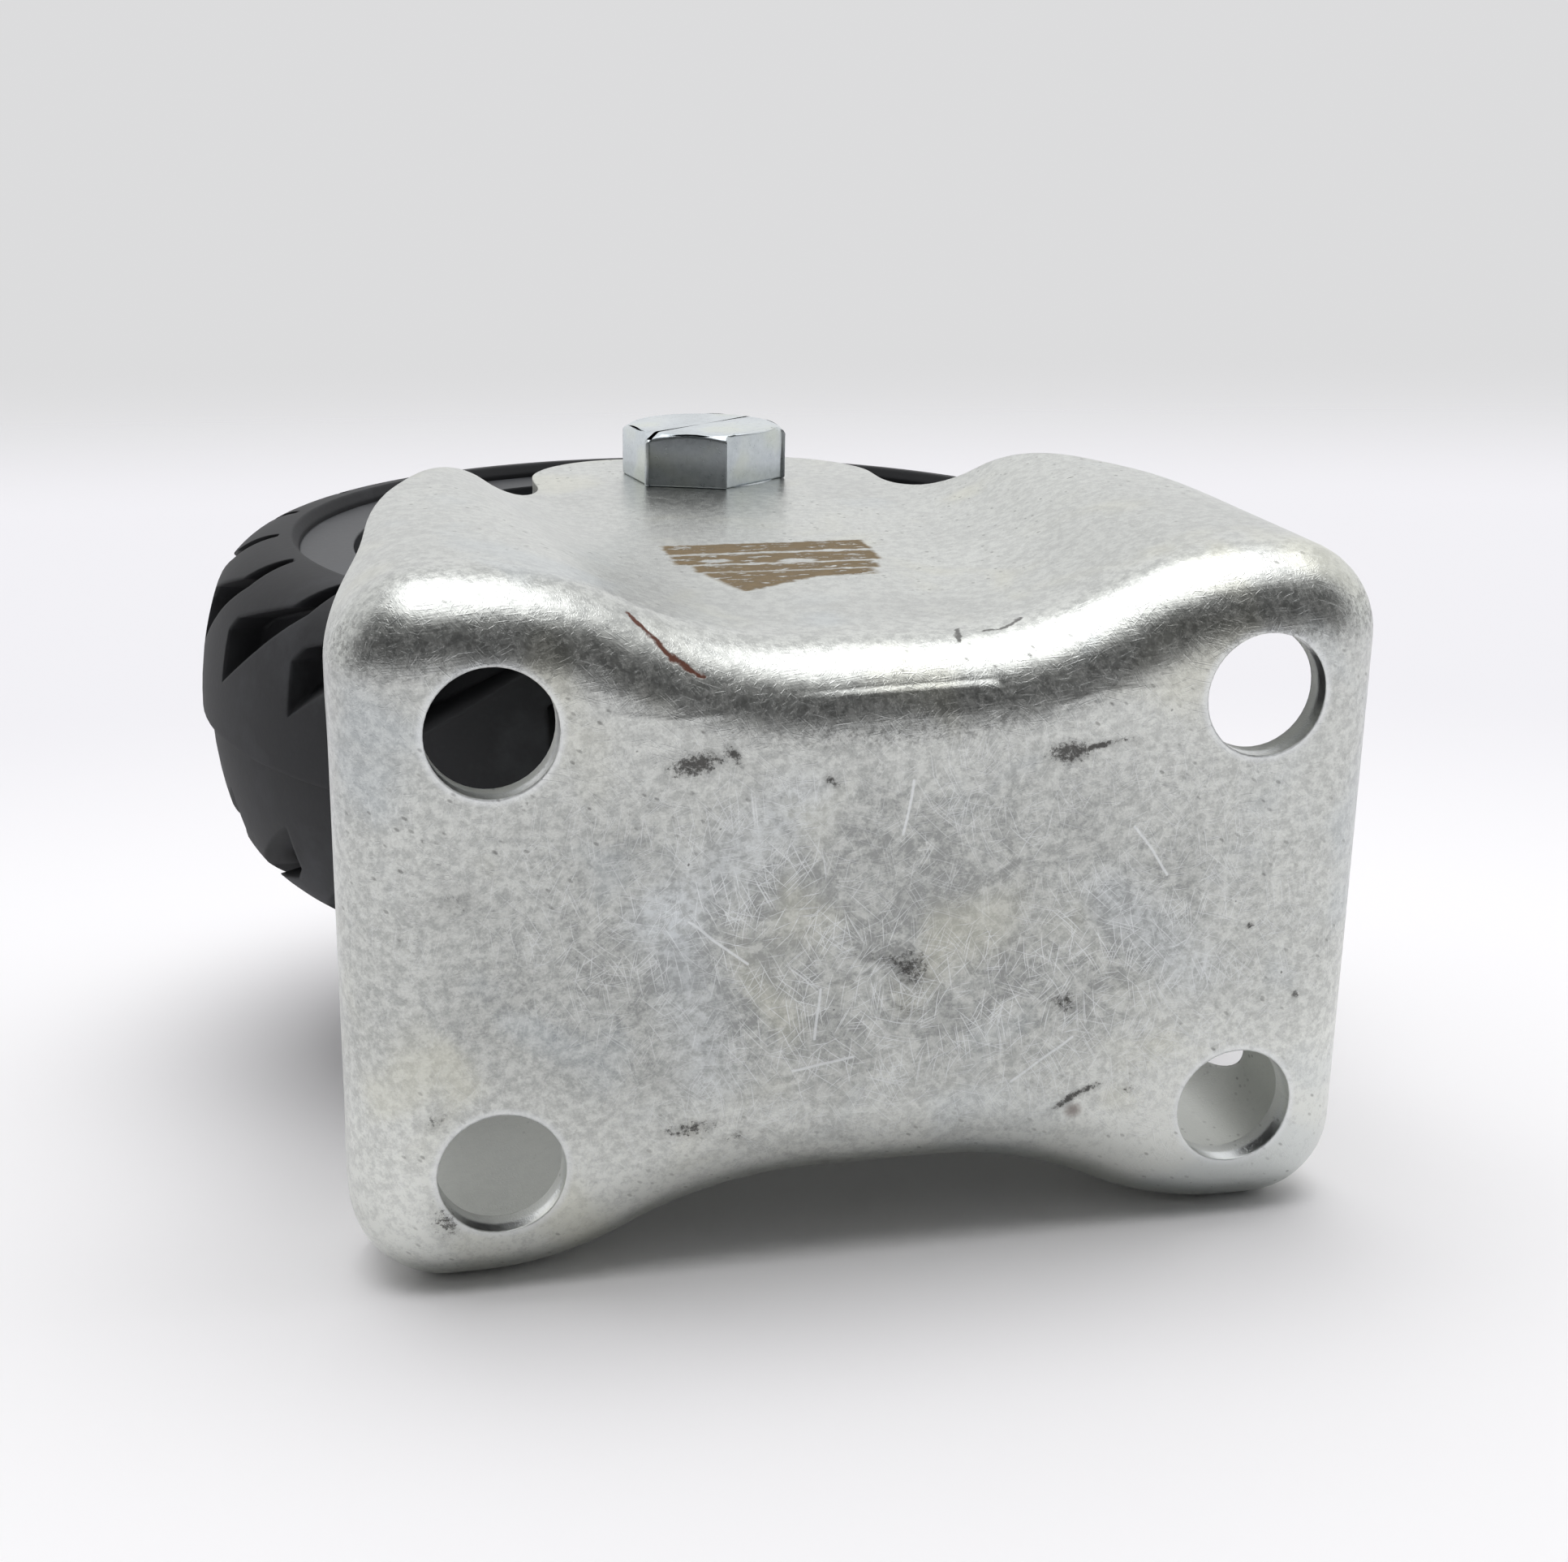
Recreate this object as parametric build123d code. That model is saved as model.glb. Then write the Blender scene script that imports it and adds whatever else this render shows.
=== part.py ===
# A fixed plate castor: a pressed steel bracket with a lug-tread wheel on a bolted axle.
# The origin is the centre of the mounting face, +Z points out of that face, X is the rolling direction
# and Y is the axle, with the bolt head at +Y. All sizes are in millimetres.
from build123d import *
from math import asin, cos, degrees, pi, radians, sin, sqrt, tan
import os

# Overall sizes
wheel_diameter = 125.0
axle_drop = 87.5            # mounting face down to the axle
plate_length = 100.5        # along X, over the rolled ends
sheet = 3.2                 # steel sheet of the bracket
bend_radius = 8.5           # outside radius of every bend

# Mounting holes
hole_diameter = 12.0
hole_spacing_x = 73.0
hole_spacing_y = 42.5

# Plan of the pressing, outside faces: wide lobes at the holes, a narrow waist between them
lobe_half_width = 34.5
lobe_start = 38.5           # where the lobe's straight flank begins, from the middle
waist_half_width = 26.6     # at the mounting face
foot_half_width = 27.8      # at the axle, where both legs run parallel
waist_flat = 4.0            # half length of the straight waist at the mounting face
foot_flat = 20.0            # half length of the flat seat at the axle
crest_share = 0.45          # share of the flank's curve that belongs to the lobe
corner_radius = 9.2         # upright corners
flare_end = 74.0            # depth where the legs become parallel
lip_depth = 9.5             # how far the rolled ends hang below the mounting face
end_gap = 23.0              # half width of the opening in each end
end_gap_radius = 6.0

# Side view of a leg: half lengths at depths below the mounting face
lip_inset, lip_end_depth = 1.1, 15.0
shoulder_inset, shoulder_depth = 3.4, 21.0
flank_inset, flank_depth = 5.6, 34.0
hip_inset, hip_above_axle = 9.6, 38.5
knee_outside_foot, knee_above_axle = 11.0, 22.5
foot_half_length, foot_above_axle = 21.5, 4.0
foot_below_axle, foot_corner = 13.5, 14.0

# Axle: M12 bolt, lock nut and spacers
bolt_diameter = 12.0
bolt_clearance = 0.1        # radial, in the bracket's holes and the spacers
fit_gap = 0.05              # radial, shank in the inner rings and the nut
head_across_flats = 19.0
head_height = 6.5
head_turn = 38.5            # degrees, how the head came to stand
hexagon_chamfer = 30.0      # degrees
hexagon_face_share = 0.95   # width of the flat end face, of the width across flats
bolt_beyond_nut = 3.5
bolt_tip_chamfer = 1.2
nut_height = 12.0
nut_hexagon_height = 8.6
nut_collar_diameter = 17.6
nut_collar_taper, nut_collar_taper_height = 1.4, 2.2
nut_turn = 8.0
insert_outer_diameter = 15.2
insert_height = 2.8
insert_lip = 0.8
spacer_diameter = 17.4
wheel_shift = 1.5           # towards the bolt head, as the wheel stands in the photo

# Bearings: deep groove, 12 x 32 x 10
bearing_bore = 12.0
bearing_outer = 32.0
bearing_width = 10.0
ball_diameter = 5.953
ball_count = 7
ball_gap = 0.05             # between ball and race
inner_shoulder_diameter = 18.4
outer_land_diameter = 25.8
shield_seat_diameter = 27.6
shield_depth = 1.0          # shield's inner face below the ring's face
shield_thickness = 0.4
shield_gap = 0.2            # over the inner ring's shoulder
cage_thickness = 1.7
cage_width = 7.4
cage_gap = 0.06             # between ball and pocket
ring_chamfer = 0.6

# Wheel centre, moulded
hub_length = 44.0
hub_diameter = 43.0
bearing_recess = 0.5        # bearing face below the hub's end
bearing_step = 2.0          # shoulder that stops the outer ring, radial
rim_width = 36.5
rim_diameter = 97.0
rim_wall = 5.0
rim_flange = 1.6            # keeps the tyre from sliding off, radial
rim_flange_width = 3.0
web_thickness = 6.0
rib_count = 8
rib_thickness = 4.0
rib_width = 28.0
hub_fillet = 2.0

# Tyre
tyre_width = 40.0
crown_radius = 42.0         # across the tread
shoulder_radius = 10.0
sidewall_draft = 1.2        # the tyre is this much narrower at the rim, each side
parting_step = 1.0          # the half at the bolt head stands prouder
lug_count = 22              # each side

# Corners of one tread groove, around and across the tyre from its point: a steep edge across the tread that
# turns along the shoulder, and a slanting edge back to the point. Its floor falls towards the shoulder.
groove_rim = ((-0.2, 5.2), (-1.0, 12.6), (1.0, 14.6), (11.6, 17.9), (15.6, 22.6), (24.0, 22.6), (19.0, 17.6))
groove_floor = ((0.3, 9.5), (-0.3, 12.2), (1.5, 13.7), (12.3, 16.9), (16.3, 22.6), (17.9, 22.6), (13.4, 16.9))
groove_middle = 8.0         # around the tyre from the point, where the cut is square to the tread
groove_drop = 1.0           # floor below the top of the tread, carried on to the centre line
groove_fall = 0.48          # how steeply the floor falls, across the tyre
groove_phase = -58.6        # degrees from the top, where a point stands in the rest pose
groove_stagger = 3.4        # degrees that the other side's points are behind

overlap = 1.0               # how far cutting tools and joined ribs run into or past a solid

half_length = plate_length / 2
leg_inside = foot_half_width - sheet
wheel_radius = wheel_diameter / 2
rim_radius = rim_diameter / 2
pitch_radius = (bearing_bore + bearing_outer) / 4
race_radius = ball_diameter / 2 + ball_gap
shank_radius = bolt_diameter / 2 - fit_gap
ring_face = hub_length / 2 - bearing_recess
insert_top = nut_height - insert_lip
at_axle = Pos(0, 0, -axle_drop)
at_wheel = at_axle * Pos(0, wheel_shift, 0)


def turned(*corners):
    """Solid of revolution about the Y axis, from corners given as (radius, y)."""
    return revolve(make_face(Polyline(*corners, close=True)), Axis.Y)


def tube(inner_radius, outer_radius, y_low, y_high, chamfer_size=0.0):
    """Plain ring about the Y axis, with its outer corners chamfered if asked."""
    c = chamfer_size
    if not c:
        return turned((inner_radius, y_low), (outer_radius, y_low), (outer_radius, y_high), (inner_radius, y_high))
    return turned((inner_radius, y_low), (outer_radius - c, y_low), (outer_radius, y_low + c),
                  (outer_radius, y_high - c), (outer_radius - c, y_high), (inner_radius, y_high))


def plan_outline(inset, waist, flat, depth):
    """The pressing's plan at one depth: an hourglass of lines and tangent arcs, moved in by inset."""
    rise = lobe_half_width - waist
    run = lobe_start - flat
    radii = (run ** 2 + rise ** 2) / (2 * rise)
    crest, hollow = crest_share * radii, (1 - crest_share) * radii
    turn = asin(run / radii)
    x_end, y_side = half_length - inset, lobe_half_width - inset
    x_corner, y_corner = half_length - corner_radius, lobe_half_width - corner_radius
    r_corner, r_crest, r_hollow = corner_radius - inset, crest - inset, hollow + inset
    y_crest, y_hollow = lobe_half_width - crest, waist + hollow

    def point(x, y):
        return Vector(x, y, -depth)

    def on_arc(x, y, radius, angle):
        return point(x + radius * cos(angle), y + radius * sin(angle))

    end = point(x_end, y_corner)
    corner_mid = on_arc(x_corner, y_corner, r_corner, pi / 4)
    corner_top = point(x_corner, y_side)
    crest_top = point(lobe_start, y_side)
    crest_mid = on_arc(lobe_start, y_crest, r_crest, pi / 2 + turn / 2)
    join = on_arc(lobe_start, y_crest, r_crest, pi / 2 + turn)
    hollow_mid = on_arc(flat, y_hollow, r_hollow, -pi / 2 + turn / 2)
    waist_end = point(flat, waist - inset)

    def at(p, sx, sy):
        return Vector(sx * p.X, sy * p.Y, p.Z)

    edges = []
    for sx, sy in ((1, 1), (-1, 1), (-1, -1), (1, -1)):
        edges += [ThreePointArc(at(end, sx, sy), at(corner_mid, sx, sy), at(corner_top, sx, sy)),
                  Line(at(corner_top, sx, sy), at(crest_top, sx, sy)),
                  ThreePointArc(at(crest_top, sx, sy), at(crest_mid, sx, sy), at(join, sx, sy)),
                  ThreePointArc(at(join, sx, sy), at(hollow_mid, sx, sy), at(waist_end, sx, sy))]
    for s in (1, -1):
        edges += [Line(at(waist_end, s, s), at(waist_end, -s, s)), Line(at(end, -s, s), at(end, -s, -s))]
    return make_face(Wire(edges))


def pressing_form(inset):
    """Solid form of the pressing: the plan lofted down to the legs' feet, top edge rounded all round."""
    foot = axle_drop + foot_below_axle + overlap + inset
    form = loft([plan_outline(inset, waist_half_width, waist_flat, 0),
                 plan_outline(inset, foot_half_width, foot_flat, flare_end)], ruled=True)
    form += extrude(plan_outline(inset, foot_half_width, foot_flat, flare_end), amount=-(foot - flare_end))
    if inset:
        top = Pos(0, 0, -inset / 2) * Box(2 * plate_length, 4 * lobe_half_width, inset)
        form -= top
    rim = form.edges().group_by(Axis.Z)[-1]
    return fillet(rim, bend_radius - inset)


def leg_side_view():
    """What stays of the pressing in side view: plate over the full length, legs narrowing to the feet."""
    edge = [(half_length - lip_inset, -lip_end_depth), (half_length - shoulder_inset, -shoulder_depth),
            (half_length - flank_inset, -flank_depth), (half_length - hip_inset, hip_above_axle - axle_drop),
            (foot_half_length + knee_outside_foot, knee_above_axle - axle_drop),
            (foot_half_length, foot_above_axle - axle_drop)]
    bottom = -axle_drop - foot_below_axle
    right = [(half_length + overlap, overlap), (half_length + overlap, -lip_depth)] + edge
    right += [(foot_half_length, bottom + foot_corner)]
    corner_mid = (foot_half_length - foot_corner * (1 - cos(pi / 4)), bottom + foot_corner * (1 - sin(pi / 4)))
    toe = (foot_half_length - foot_corner, bottom)
    lines = [Line(right[0], right[1]), Spline(*right[1:8], tangents=[(-0.35, -1), (0, -1)]),
             Line(right[7], right[8]), ThreePointArc(right[8], corner_mid, toe), Line(toe, (0, bottom)),
             Line((0, overlap), right[0])]
    half = make_face(lines + [Line((0, bottom), (0, overlap))])
    return half + mirror(half, Plane.YZ)


def make_bracket():
    shell = pressing_form(0) - pressing_form(sheet)
    side = extrude(Plane.XZ * leg_side_view(), amount=2 * lobe_half_width, both=True)
    opening_height = axle_drop + foot_below_axle
    opening = Rectangle(2 * end_gap, opening_height)
    opening = fillet(opening.vertices().group_by(Axis.Y)[-1], end_gap_radius)
    opening = Plane.YZ * (Pos(0, -lip_depth - opening_height / 2) * opening)
    bracket = (shell & side) - extrude(opening, amount=plate_length, both=True)
    holes = GridLocations(hole_spacing_x, hole_spacing_y, 2, 2)
    bracket -= holes * Cylinder(hole_diameter / 2, 4 * sheet)
    axle_hole = Rot(90, 0, 0) * Cylinder(bolt_diameter / 2 + bolt_clearance, 4 * lobe_half_width)
    return bracket - at_axle * axle_hole


def hexagon(height):
    """Hexagonal prism along +Y from y = 0, with its corners chamfered at the far end."""
    corner = head_across_flats / sqrt(3)
    flat = head_across_flats / 2 * hexagon_face_share
    reach = corner + overlap
    slope = (reach - flat) * tan(radians(hexagon_chamfer))
    prism = Rot(-90, 0, 0) * extrude(RegularPolygon(corner, 6), amount=height)
    return prism & turned((0, 0), (reach, 0), (reach, height - slope), (flat, height), (0, height))


def make_axle_bolt():
    end = -(foot_half_width + nut_height + bolt_beyond_nut)
    c = bolt_tip_chamfer
    shank = turned((0, foot_half_width), (shank_radius, foot_half_width), (shank_radius, end + c),
                   (shank_radius - c, end), (0, end))
    head = Pos(0, foot_half_width, 0) * Rot(0, head_turn, 0) * hexagon(head_height)
    return at_axle * (shank + head)


def nut_place():
    return at_axle * Pos(0, -foot_half_width, 0) * Rot(0, nut_turn, 0) * Rot(180, 0, 0)


def make_lock_nut():
    bore = bolt_diameter / 2
    collar = nut_collar_diameter / 2
    crown = turned((bore, nut_hexagon_height - overlap), (collar, nut_hexagon_height - overlap),
                   (collar, nut_height - nut_collar_taper_height), (collar - nut_collar_taper, nut_height),
                   (bore, nut_height))
    past = nut_height + overlap
    nut = hexagon(nut_hexagon_height) + crown - turned((0, -overlap), (bore, -overlap), (bore, past), (0, past))
    seat = insert_outer_diameter / 2
    floor, mouth = insert_top - insert_height, seat - insert_lip
    nut -= turned((0, floor), (seat, floor), (seat, insert_top), (mouth, insert_top), (mouth, past), (0, past))
    return nut_place() * nut


def make_nut_insert():
    return nut_place() * tube(bolt_diameter / 2, insert_outer_diameter / 2, insert_top - insert_height, insert_top)


def make_end_spacer(side):
    """Runs from a leg's inner face to the inner ring beside it."""
    low, high = sorted((side * leg_inside, side * ring_face + wheel_shift))
    return at_axle * tube(bolt_diameter / 2 + bolt_clearance, spacer_diameter / 2, low, high, ring_chamfer)


def make_centre_sleeve():
    end = ring_face - bearing_width
    return at_wheel * tube(bolt_diameter / 2 + bolt_clearance, spacer_diameter / 2, -end, end, ring_chamfer)


def bearing_place(side):
    return at_wheel * Pos(0, side * (ring_face - bearing_width / 2), 0)


def race_groove():
    return revolve(Pos(pitch_radius, 0) * Circle(race_radius), Axis.Y)


def make_inner_ring(side):
    half = bearing_width / 2
    ring = tube(bearing_bore / 2, inner_shoulder_diameter / 2, -half, half)
    return bearing_place(side) * (ring - race_groove())


def make_outer_ring(side):
    half = bearing_width / 2
    land, seat = outer_land_diameter / 2, shield_seat_diameter / 2
    outer = bearing_outer / 2
    c = ring_chamfer
    ring = turned((seat, -half), (outer - c, -half), (outer, -half + c), (outer, half - c), (outer - c, half),
                  (seat, half), (seat, half - shield_depth), (land, half - shield_depth),
                  (land, shield_depth - half), (seat, shield_depth - half))
    return bearing_place(side) * (ring - race_groove())


def make_ball_set(side):
    balls = [Rot(0, 360 / ball_count * i, 0) * Pos(pitch_radius, 0, 0) * Sphere(ball_diameter / 2)
             for i in range(ball_count)]
    return bearing_place(side) * Compound(balls)


def make_cage(side):
    cage = tube(pitch_radius - cage_thickness / 2, pitch_radius + cage_thickness / 2, -cage_width / 2, cage_width / 2)
    pocket = Sphere(ball_diameter / 2 + cage_gap)
    for i in range(ball_count):
        cage -= Rot(0, 360 / ball_count * i, 0) * Pos(pitch_radius, 0, 0) * pocket
    return bearing_place(side) * cage


def make_shield(side, face):
    """Thin ring pressed into the outer ring, on the bearing's outer (+1) or inner (-1) face."""
    seat = shield_seat_diameter / 2
    low = bearing_width / 2 - shield_depth
    shield = tube(inner_shoulder_diameter / 2 + shield_gap, seat, low, low + shield_thickness)
    if side * face < 0:
        shield = mirror(shield, Plane.XZ)
    return bearing_place(side) * shield


def make_wheel_centre():
    hub_end = hub_length / 2
    hub = tube(0, hub_diameter / 2, -hub_end, hub_end, hub_fillet)
    rim_half = rim_width / 2
    rim_inner = rim_radius - rim_wall
    flange = rim_radius + rim_flange
    rim = turned((rim_inner, -rim_half), (flange, -rim_half), (flange, rim_flange_width - rim_half),
                 (rim_radius, rim_flange_width - rim_half), (rim_radius, rim_half - rim_flange_width),
                 (flange, rim_half - rim_flange_width), (flange, rim_half), (rim_inner, rim_half))
    web = tube(hub_diameter / 2 - overlap, rim_inner + overlap, -web_thickness / 2, web_thickness / 2)
    centre = hub + rim + web
    rib_length = rim_inner - hub_diameter / 2 + 2 * overlap
    rib = Pos(hub_diameter / 2 - overlap + rib_length / 2, 0, 0) * Box(rib_length, rib_width, rib_thickness)
    for i in range(rib_count):
        centre += Rot(0, 360 / rib_count * i, 0) * rib
    stop = bearing_outer / 2 - bearing_step
    seat_floor = ring_face - bearing_width
    seat = bearing_outer / 2
    past = hub_end + overlap
    centre -= turned((0, -past), (seat, -past), (seat, -seat_floor), (stop, -seat_floor),
                     (stop, seat_floor), (seat, seat_floor), (seat, past), (0, past))
    return at_wheel * centre


def tread_line():
    """The tread's half section as (radius, y), from one sidewall to the other: a crowned arc with tangent
    shoulder arcs. The half at -Y lies lower by the parting step."""
    half = tyre_width / 2
    y_shoulder = half - shoulder_radius
    lean = asin(y_shoulder / (crown_radius - shoulder_radius))
    lines = []
    for side, step in ((1, 0), (-1, parting_step)):
        top = wheel_radius - step
        r_shoulder = top - crown_radius + (crown_radius - shoulder_radius) * cos(lean)

        def on_crown(angle):
            return (top - crown_radius * (1 - cos(angle)), side * crown_radius * sin(angle))

        def on_shoulder(angle):
            return (r_shoulder + shoulder_radius * cos(angle), side * (y_shoulder + shoulder_radius * sin(angle)))

        crown = ThreePointArc((top, 0), on_crown(lean / 2), on_crown(lean))
        shoulder = ThreePointArc(on_crown(lean), on_shoulder((lean + pi / 2) / 2), on_shoulder(pi / 2))
        lines += [shoulder, crown, Line((top, 0), (top - parting_step, 0))] if side > 0 else [crown, shoulder]
    return lines


def tyre_section():
    """The tread line closed by tapering sidewalls and a bead that sits in the rim."""
    tread = tread_line()
    flange = rim_radius + rim_flange
    bead = tyre_width / 2 - sidewall_draft
    seat = rim_width / 2 - rim_flange_width
    inner = Polyline(tread[0] @ 1, (flange, bead), (flange, seat), (rim_radius, seat), (rim_radius, -seat),
                     (flange, -seat), (flange, -bead), tread[-1] @ 1)
    return make_face(tread + [inner])


def groove_tool():
    """One tread groove as a flaring pocket over the top of the wheel, on the side of +Y."""
    def outline(corners, drop, fall):
        return make_face(Polyline(*[(x - groove_middle, y, wheel_radius - drop - fall * y) for x, y in corners],
                                  close=True))

    return loft([outline(groove_floor, groove_drop, groove_fall), outline(groove_rim, -overlap, 0)], ruled=True)


def make_tyre():
    """The tread's two halves are alike: each is the other turned half round about a spoke."""
    upper = groove_tool()
    lower = Rot(0, 0, 180) * upper
    lean = degrees(asin(groove_middle / wheel_radius))
    tools = []
    for i in range(lug_count):
        point = groove_phase + 360 / lug_count * i
        tools += [Rot(0, point + lean, 0) * upper, Rot(0, point - groove_stagger - lean, 0) * lower]
    return at_wheel * (revolve(tyre_section(), Axis.Y) - tools)


sides = {"head": 1, "nut": -1}
parts = {
    "bracket": make_bracket(),
    "axle_bolt": make_axle_bolt(),
    "lock_nut": make_lock_nut(),
    "nut_insert": make_nut_insert(),
    "centre_sleeve": make_centre_sleeve(),
    "wheel_centre": make_wheel_centre(),
    "tyre": make_tyre(),
}
for name, side in sides.items():
    parts[f"{name}_side_spacer"] = make_end_spacer(side)
    parts[f"{name}_side_inner_ring"] = make_inner_ring(side)
    parts[f"{name}_side_outer_ring"] = make_outer_ring(side)
    parts[f"{name}_side_balls"] = make_ball_set(side)
    parts[f"{name}_side_cage"] = make_cage(side)
    parts[f"{name}_side_outer_shield"] = make_shield(side, 1)
    parts[f"{name}_side_inner_shield"] = make_shield(side, -1)

os.makedirs("parts", exist_ok=True)
for name, part in parts.items():
    export_step(part, f"parts/{name}.step")
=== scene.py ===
import math

import bmesh
import bpy
from mathutils import Matrix, Vector


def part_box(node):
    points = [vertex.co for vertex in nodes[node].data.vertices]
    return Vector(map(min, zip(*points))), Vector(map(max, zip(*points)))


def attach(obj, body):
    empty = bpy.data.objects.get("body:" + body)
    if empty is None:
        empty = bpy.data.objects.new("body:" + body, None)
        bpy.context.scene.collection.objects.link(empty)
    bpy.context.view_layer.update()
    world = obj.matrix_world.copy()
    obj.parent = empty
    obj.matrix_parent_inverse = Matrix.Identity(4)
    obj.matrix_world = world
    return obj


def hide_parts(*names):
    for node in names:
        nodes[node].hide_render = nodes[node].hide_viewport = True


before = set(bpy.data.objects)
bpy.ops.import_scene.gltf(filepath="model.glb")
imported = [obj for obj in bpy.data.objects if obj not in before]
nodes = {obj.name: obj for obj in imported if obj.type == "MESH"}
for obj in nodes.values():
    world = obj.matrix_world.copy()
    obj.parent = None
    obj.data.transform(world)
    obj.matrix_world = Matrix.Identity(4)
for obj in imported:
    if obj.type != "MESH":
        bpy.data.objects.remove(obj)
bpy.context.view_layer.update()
mm = 0.001
print("frame loaded:", len(nodes), "nodes")


class Wire:
    # one shader socket, so that shader maths reads as Python

    def __init__(self, finish, socket):
        self.finish = finish
        self.socket = socket

    def maths(self, operation, a, b):
        return self.finish.node("ShaderNodeMath", {"operation": operation}, {0: a, 1: b})

    def __add__(self, other):
        return self.maths("ADD", self, other)

    def __radd__(self, other):
        return self.maths("ADD", other, self)

    def __sub__(self, other):
        return self.maths("SUBTRACT", self, other)

    def __rsub__(self, other):
        return self.maths("SUBTRACT", other, self)

    def __mul__(self, other):
        return self.maths("MULTIPLY", self, other)

    def __rmul__(self, other):
        return self.maths("MULTIPLY", other, self)

    def __truediv__(self, other):
        return self.maths("DIVIDE", self, other)

    def __rtruediv__(self, other):
        return self.maths("DIVIDE", other, self)

    def atLeast(self, other):
        return self.maths("MAXIMUM", self, other)

    def atMost(self, other):
        return self.maths("MINIMUM", self, other)

    def absolute(self):
        return self.maths("ABSOLUTE", self, 0.0)


class Finish:
    # a node tree under construction: a piece's material, or the room around it

    def __init__(self, owner):
        owner.use_nodes = True
        self.owner = owner
        self.tree = owner.node_tree
        self.tree.nodes.clear()

    def node(self, kind, settings=None, values=None, out=0):
        made = self.tree.nodes.new(kind)
        for name, value in (settings or {}).items():
            if name == "stops":
                elements = made.color_ramp.elements
                while len(elements) < len(value):
                    elements.new(1.0)
                for element, (position, colour) in zip(elements, value):
                    element.position, element.color = position, (*colour, 1.0)
            else:
                setattr(made, name, value)
        for name, value in (values or {}).items():
            if isinstance(value, Wire):
                self.tree.links.new(value.socket, made.inputs[name])
            else:
                made.inputs[name].default_value = value
        return Wire(self, made.outputs[out]) if made.outputs else None

    def place(self):
        # object coordinates, in millimetres
        metres = self.node("ShaderNodeTexCoord", out="Object")
        return self.node("ShaderNodeVectorMath", {"operation": "SCALE"}, {0: metres, "Scale": 1000.0})

    def vector(self, operation, a, b=(0.0, 0.0, 0.0)):
        return self.node("ShaderNodeVectorMath", {"operation": operation}, {0: a, 1: b})

    def number(self, operation, a, b=(0.0, 0.0, 0.0)):
        # the vector operations whose result is one number
        return self.node("ShaderNodeVectorMath", {"operation": operation}, {0: a, 1: b}, out="Value")

    def axes(self, vector):
        parts = self.node("ShaderNodeSeparateXYZ", values={0: vector})
        outputs = parts.socket.node.outputs
        return [Wire(self, outputs[i]) for i in range(3)]

    def grain(self, place, size, detail=2.0, rough=0.5, warp=0.0):
        # noise from 0 to 1 whose lumps are about size millimetres across
        values = {"Vector": place, "Scale": 1.0 / size, "Detail": detail, "Roughness": rough, "Distortion": warp}
        return self.node("ShaderNodeTexNoise", values=values, out="Fac")

    def slivers(self, place, bare):
        # short marks with pointed ends, each in a unit cell of its own; bare is the share of cells without one
        cell = self.node("ShaderNodeTexVoronoi", values={"Vector": place, "Scale": 1.0}, out="Distance")
        red = self.axes(Wire(self, cell.socket.node.outputs["Color"]))[0]
        return self.step(cell, 0.34, 0.14) * self.step(red, bare, bare + 0.3)

    def step(self, value, low, high):
        # smooth rise from 0 at low to 1 at high, or a fall where high is below low
        values = {"Value": value, "From Min": low, "From Max": high}
        return self.node("ShaderNodeMapRange", {"interpolation_type": "SMOOTHSTEP"}, values)

    def blend(self, share, a, b):
        return self.node("ShaderNodeMix", {"data_type": "RGBA"}, {0: share, 6: a, 7: b}, out=2)

    def local(self, place, centre=(0, 0, 0), turn=(0, 0, 0), size=(1, 1, 1)):
        # place measured from centre, along turned axes, in multiples of size
        values = {"Vector": place, "Location": centre, "Rotation": [math.radians(a) for a in turn], "Scale": size}
        return self.node("ShaderNodeMapping", {"vector_type": "TEXTURE"}, values)

    def reach(self, place, centre, size=(1, 1, 1), turn=0):
        # distance from centre in multiples of size, along axes turned about Z
        return self.number("LENGTH", self.local(place, centre, (0, 0, turn), size))

    def shaken(self, place, scale, detail, amount):
        # place moved about by a slow noise, so that straight strokes waver
        noise = self.node("ShaderNodeTexNoise", values={"Vector": place, "Scale": scale, "Detail": detail}, out="Color")
        swing = self.vector("SUBTRACT", noise, (0.5, 0.5, 0.5))
        return self.vector("ADD", place, self.vector("MULTIPLY", swing, amount))

    def between(self, value, low, high, soft):
        # 1 from low to high, with soft ends
        return self.step(value, low - soft, low + soft) * self.step(value, high + soft, high - soft)

    def strokeGap(self, place, a, b):
        # distance in millimetres to the stroke from a to b
        run = Vector(b) - Vector(a)
        fromStart = self.vector("SUBTRACT", place, a)
        share = self.number("DOT_PRODUCT", fromStart, run / run.length_squared).atLeast(0.0).atMost(1.0)
        along = self.node("ShaderNodeVectorMath", {"operation": "SCALE"}, {0: run, "Scale": share})
        return self.number("LENGTH", self.vector("SUBTRACT", fromStart, along))

    def pathGap(self, place, points):
        # distance in millimetres to a path through points
        nearest = self.strokeGap(place, points[0], points[1])
        for a, b in zip(points[1:-1], points[2:]):
            nearest = nearest.atMost(self.strokeGap(place, a, b))
        return nearest

    def roundedDepth(self, a, b, radius):
        # depth under two faces that meet in a rounded corner, from the depth under each
        values = {0: (radius - a).atLeast(0.0), 1: (radius - b).atLeast(0.0)}
        return radius - self.number("LENGTH", self.node("ShaderNodeCombineXYZ", values=values))

    def bump(self, height, microns, normal=None):
        # height from 0 to 1 stands for that many thousandths of a millimetre
        values = {"Height": height, "Distance": microns * 1e-6, "Strength": 1.0}
        if normal:
            values["Normal"] = normal
        return self.node("ShaderNodeBump", values=values)

    def softEdges(self, radius):
        return self.node("ShaderNodeBevel", {"samples": 6}, {"Radius": radius * mm})

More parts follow.
